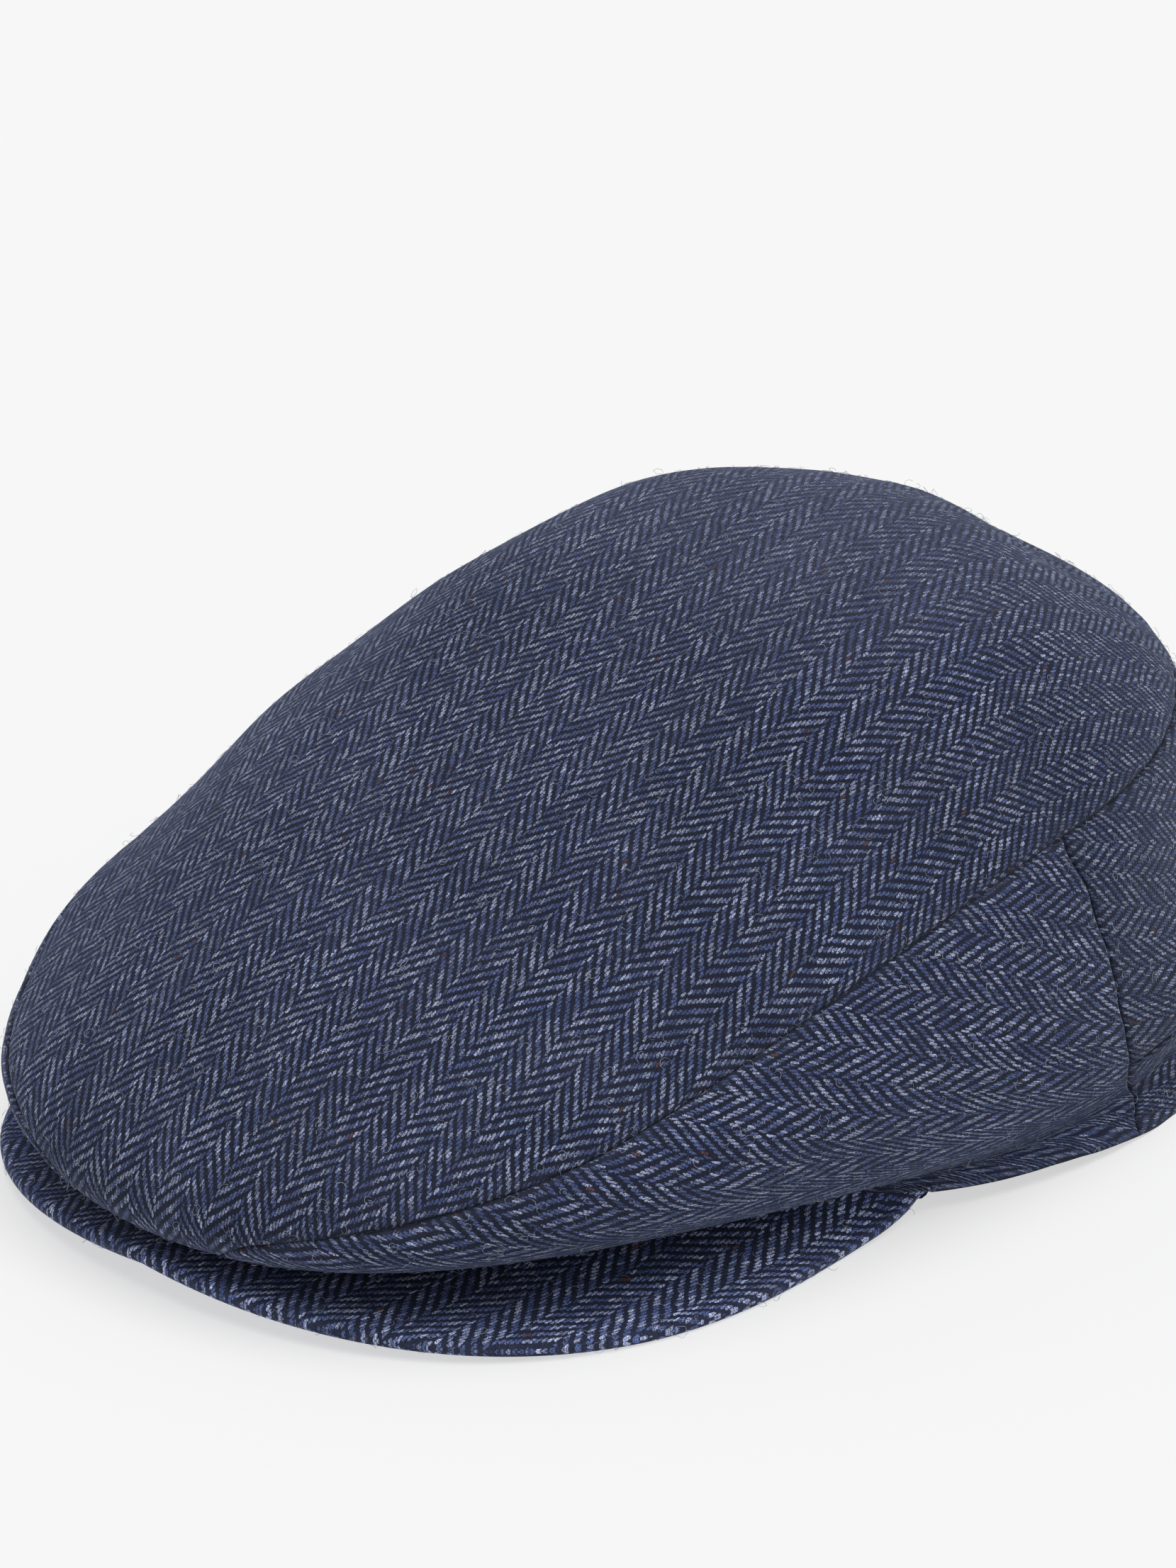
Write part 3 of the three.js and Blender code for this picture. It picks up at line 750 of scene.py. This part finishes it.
def make_herringbone():
    """A node group that draws the cloth: its colour, its roughness and the height of its threads."""
    group = bpy.data.node_groups.new("herringbone_wool", "ShaderNodeTree")
    # The first input scales the cloth's brightness: partly its own colour, partly painted light.
    for name, value in (("Tone and painted light", 1), ("Felting", 0.3)):
        group.interface.new_socket(name, in_out="INPUT", socket_type="NodeSocketFloat").default_value = value
    for name, kind in (("Color", "Color"), ("Roughness", "Float"), ("Height", "Float")):
        group.interface.new_socket(name, in_out="OUTPUT", socket_type="NodeSocket" + kind)
    bench = Bench(group)
    given = group.nodes.new("NodeGroupInput").outputs
    result = group.nodes.new("NodeGroupOutput").inputs
    flat = bench.add("UVMap", uv_map=WEAVE_MAP)

    # The threads waver a little, more softly over long stretches and finely from thread to thread.
    u, v = thread_places(bench, flat)
    warp, across = bench.sum("FLOOR", u), bench.sum("FRACT", u)
    column = bench.sum("FLOOR", bench.sum("DIVIDE", warp, float(COLUMN_THREADS)))
    member = bench.sum("SUBTRACT", warp, bench.sum("MULTIPLY", column, float(COLUMN_THREADS)))
    turned = bench.sum("FLOORED_MODULO", column, 2.0)
    mirror = bench.sum("SUBTRACT", COLUMN_THREADS + 1.0, bench.sum("MULTIPLY", member, 2.0))
    step = bench.sum("ADD", member, bench.sum("MULTIPLY", turned, mirror))
    run = bench.sum("ADD", v, step)
    place = bench.sum("FLOORED_MODULO", run, float(REPEAT))
    float_number = bench.sum("FLOOR", bench.sum("DIVIDE", run, float(REPEAT)))

    # A float is an oval bead, 2 threads long; the weft shows between as a dark ridge.
    sideways = bench.sum("MULTIPLY_ADD", across, 2.0, -1.0)
    sideways = bench.sum("POWER", bench.sum("ABSOLUTE", sideways), 2.0)
    lengthways = bench.sum("MULTIPLY_ADD", place, 0.82, -0.82)
    lengthways = bench.sum("POWER", bench.sum("ABSOLUTE", lengthways), 2.0)
    dome = bench.sum("SUBTRACT", 1.0, bench.sum("ADD", sideways, lengthways))
    shown = bench.spread(dome, -0.25, 0.6)
    weft = bench.sum("FRACT", v)
    ridge = bench.sum("MULTIPLY", weft, bench.sum("SUBTRACT", 1.0, weft))
    height = bench.sum("MAXIMUM", bench.spread(dome, -0.2, 1.0), bench.sum("MULTIPLY", ridge, 2.4))

    # Every float has its own brightness and hue, and fine fibres streak it.
    bead = bench.add("CombineXYZ", warp, float_number, 0.0)
    chance = bench.add("TexWhiteNoise", bead, noise_dimensions="3D", give=1)
    dice = bench.tree.nodes.new("ShaderNodeSeparateColor")
    bench.join(chance, dice.inputs[0])
    drawn_out = bench.sum("MULTIPLY", u, 1.6), bench.sum("MULTIPLY", v, 1.1)
    fibres = bench.noise(bench.add("CombineXYZ", *drawn_out, 0.0), 2.2, 3.0)
    pale = bench.spread(dice.outputs[0], 0.3, 1.0)
    thread = bench.blend(pale, STEEL_THREAD, PALE_THREAD)
    rusty = bench.sum("GREATER_THAN", dice.outputs[1], RUST_LIMIT)
    thread = bench.blend(rusty, thread, RUST_THREAD)
    streaks = bench.spread(fibres, 0.36, 0.64, 0.05, 2.0)
    lightness = bench.sum("MULTIPLY", streaks, bench.spread(dice.outputs[2], 0, 1, 0.7, 1.15))
    thread = bench.blend(1.0, thread, bench.add("CombineXYZ", lightness, lightness, lightness), "MULTIPLY")
    ground = bench.blend(bench.spread(fibres, 0.35, 0.75), DARK_THREAD, STEEL_THREAD)
    ground = bench.blend(0.75, ground, DARK_THREAD)
    color = bench.blend(shown, ground, thread)

    # Felting: wear and brushing raise a haze of fibres, in patches and along the seams.
    edge = bench.add("Attribute", attribute_name="near_edge", give=2)
    worn = bench.spread(edge, 0.0, 4.0, 0.25, 0.0)
    # Painted shade along every seam and edge: the cloth is painted up to half as dark within 0.8 mm of it.
    painted_seam_shade = bench.spread(edge, 0.1, 0.8, 0.5, 1.0)
    patches = bench.spread(bench.noise(flat, PATCH_SCALE), 0.35, 0.7, 0.3, 1.0)
    haze = bench.sum("ADD", bench.sum("MULTIPLY", patches, given["Felting"]), worn)
    nap = bench.spread(bench.noise(flat, NAP_SCALE, 4.0), 0.3, 0.7, 0.4, 1.3)
    color = bench.blend(bench.sum("MULTIPLY", haze, nap), color, FUZZ_TONE)

    # Painted sheen: the highest cloth is painted paler, broken up by the nap and fine specks.
    rise = bench.tree.nodes.new("ShaderNodeSeparateXYZ")
    bench.join(bench.add("TexCoord", give=3), rise.inputs[0])
    painted_sheen = bench.sum("MULTIPLY", bench.spread(rise.outputs[2], SHEEN_PAINT_START, SHEEN_PAINT_END, 0.0, 0.4), nap)
    specks = bench.spread(bench.noise(flat, SPECK_SCALE, 2.0), 0.35, 0.65, 0.4, 1.5)
    painted_sheen = bench.sum("MULTIPLY", painted_sheen, specks)
    color = bench.blend(painted_sheen, color, PAINTED_SHEEN_TONE)
    # The colour is scaled by a soft random mottle, by each panel's brightness, which is partly painted
    # light, and by the painted shade at the seams and edges.
    brightness_scale = bench.spread(bench.noise(flat, MOTTLE_SCALE, 3.0), 0.3, 0.7, 0.9, 1.1)
    brightness_scale = bench.sum("MULTIPLY", brightness_scale, given["Tone and painted light"])
    brightness_scale = bench.sum("MULTIPLY", brightness_scale, painted_seam_shade)
    color = bench.blend(1.0, color, bench.add("CombineXYZ", brightness_scale, brightness_scale, brightness_scale), "MULTIPLY")

    bench.join(color, result["Color"])
    bench.join(bench.spread(shown, 0, 1, 0.95, 0.8), result["Roughness"])
    bench.join(bench.sum("ADD", height, bench.sum("MULTIPLY", fibres, 0.5)), result["Height"])
    print("the herringbone group has", len(group.nodes), "nodes")
    return group


def thread_places(bench, flat):
    """Place on the cloth counted in warp threads across and weft threads along."""
    soft = bench.tree.nodes.new("ShaderNodeSeparateColor")
    bench.join(bench.noise(flat, WANDER_SCALE, 1.0, give=1), soft.inputs[0])
    fine = bench.tree.nodes.new("ShaderNodeSeparateColor")
    bench.join(bench.noise(flat, JITTER_SCALE, 3.0, give=1), fine.inputs[0])
    place = bench.tree.nodes.new("ShaderNodeSeparateXYZ")
    bench.join(flat, place.inputs[0])
    threads = []
    for axis, step in ((0, WARP_STEP), (1, WEFT_STEP)):
        counted = bench.sum("DIVIDE", place.outputs[axis], step * MM)
        wander = bench.sum("MULTIPLY_ADD", soft.outputs[axis], 2.6, -1.3)
        jitter = bench.sum("MULTIPLY_ADD", fine.outputs[axis], 1.6, -0.8)
        threads.append(bench.sum("ADD", counted, bench.sum("ADD", wander, jitter)))
    return threads


herringbone = make_herringbone()

# %% [markdown]
# Each panel gets a finish of its own from that group: some are more felted, and each has its own brightness,
# which is partly painted light: the peak is painted lighter, the top, back and band darker.
# Wool scatters light at a glancing angle, so the shader has a soft bluish sheen and almost no gloss.

# %% A finish for each panel
THREAD_RELIEF, RELIEF_STRENGTH = 0.16 * MM, 0.8
GLOSS = 0.2
SHEEN, SHEEN_ROUGHNESS, SHEEN_TINT = 0.16, 0.35, (0.6, 0.7, 1, 1)


def dress(piece, tone_and_painted_light, felting):
    material = bpy.data.materials.new(piece.name.replace("cloth_", "wool_"))
    material.use_nodes = True
    bench = Bench(material.node_tree)
    shader = material.node_tree.nodes["Principled BSDF"]
    cloth = material.node_tree.nodes.new("ShaderNodeGroup")
    cloth.node_tree = herringbone
    cloth.inputs["Tone and painted light"].default_value = tone_and_painted_light
    cloth.inputs["Felting"].default_value = felting
    bench.join(cloth.outputs["Color"], shader.inputs["Base Color"])
    bench.join(cloth.outputs["Roughness"], shader.inputs["Roughness"])
    bump = material.node_tree.nodes.new("ShaderNodeBump")
    bump.inputs["Strength"].default_value = RELIEF_STRENGTH
    bump.inputs["Distance"].default_value = THREAD_RELIEF
    bench.join(cloth.outputs["Height"], bump.inputs["Height"])
    bench.join(bump.outputs["Normal"], shader.inputs["Normal"])
    shader.inputs["Specular IOR Level"].default_value = GLOSS
    shader.inputs["Sheen Weight"].default_value = SHEEN
    shader.inputs["Sheen Roughness"].default_value = SHEEN_ROUGHNESS
    shader.inputs["Sheen Tint"].default_value = SHEEN_TINT
    piece.data.materials.append(material)


# Painted light in the first number: the peak is painted lighter, and the top, the back and the band darker,
# than the sides.
dress(top_panel, 0.86, 0.25)
dress(side_panel_left, 1.0, 0.18)
dress(side_panel_right, 1.0, 0.18)
dress(back_panel, 0.82, 0.25)
dress(back_band, 0.85, 0.25)
dress(peak, 1.5, 0.1)

# %% [markdown]
# Brushed wool has a thin fuzz of loose fibres: short curls that lie on the cloth and a few that
# stand off it. A hair system would do, but it is lost on export, so each fibre is a thin curve,
# and all of one panel's fibres become one mesh.

# %% Loose fibres
FIBRE_RADIUS = 0.03 * MM
FIBRES_PER_SQUARE_CM, SQUARE_CM = 5, 1e-4
FIBRE_POINTS = 6
# Ranges for one fibre: its lean, the curl's radius in millimetres, its sweep in half turns and its
# sideways drift in millimetres.
LEAN, CURL_RADIUS, CURL_SWEEP, DRIFT = (0.1, 0.9), (0.25, 1.1), (0.7, 1.9), (-0.5, 0.5)
dice = np.random.default_rng(5)


def outer_places(mesh, count):
    """Random places on a sheet, spread evenly over its area, with the directions out of it."""
    area, middle, out = (np.zeros(len(mesh.polygons) * n) for n in (1, 3, 3))
    mesh.polygons.foreach_get("area", area)
    mesh.polygons.foreach_get("center", middle)
    mesh.polygons.foreach_get("normal", out)
    chosen = dice.choice(len(area), count, p=area / area.sum())
    return middle.reshape(-1, 3)[chosen], out.reshape(-1, 3)[chosen]


def curl(out):
    """One loose fibre about the origin: an arc of a small circle that leans off the cloth."""
    side = np.cross(out, dice.normal(size=3))
    side = side / np.linalg.norm(side)
    other = np.cross(out, side)
    lean = dice.uniform(*LEAN) ** 2
    rise = math.cos(lean) * other + math.sin(lean) * out
    radius = dice.uniform(*CURL_RADIUS) * MM
    sweep = dice.uniform(*CURL_SWEEP) * math.pi
    turn = np.linspace(0, sweep, FIBRE_POINTS)[:, None]
    drift = np.linspace(0, dice.uniform(*DRIFT) * MM, FIBRE_POINTS)[:, None]
    return radius * (np.sin(turn) * side + (1 - np.cos(turn)) * rise) + drift * side + 0.05 * MM * out


def make_fibres(piece, slot):
    """Loose fibres all over one sheet, as one mesh."""
    mesh = piece.data
    area = sum(face.area for face in mesh.polygons) / SQUARE_CM
    curve = bpy.data.curves.new("fibres_" + slot, "CURVE")
    curve.dimensions = "3D"
    curve.bevel_depth = FIBRE_RADIUS
    curve.bevel_resolution = 0
    for middle, out in zip(*outer_places(mesh, int(area * FIBRES_PER_SQUARE_CM))):
        spline = curve.splines.new("POLY")
        spline.points.add(FIBRE_POINTS - 1)
        line = middle + curl(out)
        line[:, 2] = np.maximum(line[:, 2], FIBRE_RADIUS)
        spline.points.foreach_set("co", np.concatenate([line, np.ones((FIBRE_POINTS, 1))], 1).ravel())
    holder = bpy.data.objects.new("fibre_curves", curve)
    fibres = bpy.data.objects.new("fibres_" + slot, bpy.data.meshes.new_from_object(holder))
    bpy.data.objects.remove(holder)
    bpy.context.collection.objects.link(fibres)
    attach(fibres, "root")
    fibres.data.materials.clear()
    fibres.data.materials.append(fibre_finish)
    print(fibres.name, "has", len(fibres.data.polygons), "faces")
    return fibres


def make_fibre_finish():
    material = bpy.data.materials.new("loose_wool")
    material.use_nodes = True
    bench = Bench(material.node_tree)
    shader = material.node_tree.nodes["Principled BSDF"]
    where = bench.add("TexCoord", give=3)
    tint = bench.spread(bench.noise(where, 400.0), 0.35, 0.65)
    bench.join(bench.blend(tint, (0.07, 0.09, 0.16, 1), (0.42, 0.44, 0.52, 1)), shader.inputs["Base Color"])
    bench.join(bench.spread(tint, 0, 1, 0.7, 0.5), shader.inputs["Roughness"])
    return material


fibre_finish = make_fibre_finish()
for piece in (top_panel, side_panel_left, side_panel_right, back_panel, back_band, peak):
    make_fibres(piece, piece.name.replace("cloth_", ""))

# %% [markdown]
# Last, the flat sheets get the thickness of the cloth. Solidify builds the inner face and closes the
# cut edges. The cap rests on the table, so no cloth may sink below it: the modifier is applied and
# the few low points are raised to the table.

# %% Thickness of the cloth
def thicken(piece):
    """Gives a sheet its inner face and closed edges, and keeps it off the table."""
    wall = piece.modifiers.new("wall", "SOLIDIFY")
    wall.thickness = CLOTH * MM
    wall.offset = -1
    mesh = bpy.data.meshes.new_from_object(piece.evaluated_get(bpy.context.evaluated_depsgraph_get()))
    piece.modifiers.remove(wall)
    where = places(mesh)
    low = (where[:, 2] < 0).sum()
    where[:, 2] = np.maximum(where[:, 2], 0)
    mesh.vertices.foreach_set("co", where.ravel())
    mesh.update()
    piece.data = mesh
    print(piece.name, "is", CLOTH, "mm thick;", low, "points were raised to the table")


for piece in (top_panel, side_panel_left, side_panel_right, back_panel, back_band):
    thicken(piece)

# %% [markdown]
# The cap lies on a plain white table in a light studio. Light from all around leaves only a faint
# shadow, which the table's own glow, painted light, makes fainter still. One broad lamp, almost
# overhead, gives the crown its form.

# %% Table and light
TABLE_SIZE = 6
SKY, KEY_STRENGTH, KEY_SPREAD = 0.45, 2.2, 60
KEY_FROM = (0.2, 0.0, 0.97)
# The table glows as well as reflecting: painted light that keeps it evenly white, fills its shadows and
# lights the cap from below.
TABLE_WHITE, TABLE_GLOW = 0.3, 0.59


def add_table():
    bm = bmesh.new()
    bmesh.ops.create_grid(bm, x_segments=1, y_segments=1, size=TABLE_SIZE / 2)
    mesh = bpy.data.meshes.new("table")
    bm.to_mesh(mesh)
    bm.free()
    table = bpy.data.objects.new("table", mesh)
    bpy.context.collection.objects.link(table)
    material = bpy.data.materials.new("table_white")
    material.use_nodes = True
    shader = material.node_tree.nodes["Principled BSDF"]
    shader.inputs["Base Color"].default_value = (TABLE_WHITE, TABLE_WHITE, TABLE_WHITE, 1)
    shader.inputs["Roughness"].default_value = 1
    shader.inputs["Specular IOR Level"].default_value = 0
    shader.inputs["Emission Color"].default_value = (1, 1, 1, 1)
    shader.inputs["Emission Strength"].default_value = TABLE_GLOW
    mesh.materials.append(material)


add_table()


def add_light():
    world = bpy.data.worlds.new("studio")
    bpy.context.scene.world = world
    world.use_nodes = True
    world.node_tree.nodes["Background"].inputs["Color"].default_value = (1, 1, 1, 1)
    world.node_tree.nodes["Background"].inputs["Strength"].default_value = SKY
    key = bpy.data.objects.new("key_light", bpy.data.lights.new("key_light", "SUN"))
    key.data.energy = KEY_STRENGTH
    key.data.angle = math.radians(KEY_SPREAD)
    key.rotation_euler = Vector(KEY_FROM).to_track_quat("Z", "Y").to_euler()
    bpy.context.collection.objects.link(key)
    bpy.context.scene.view_settings.view_transform = "Standard"


add_light()
print("the table and the lamp stand")
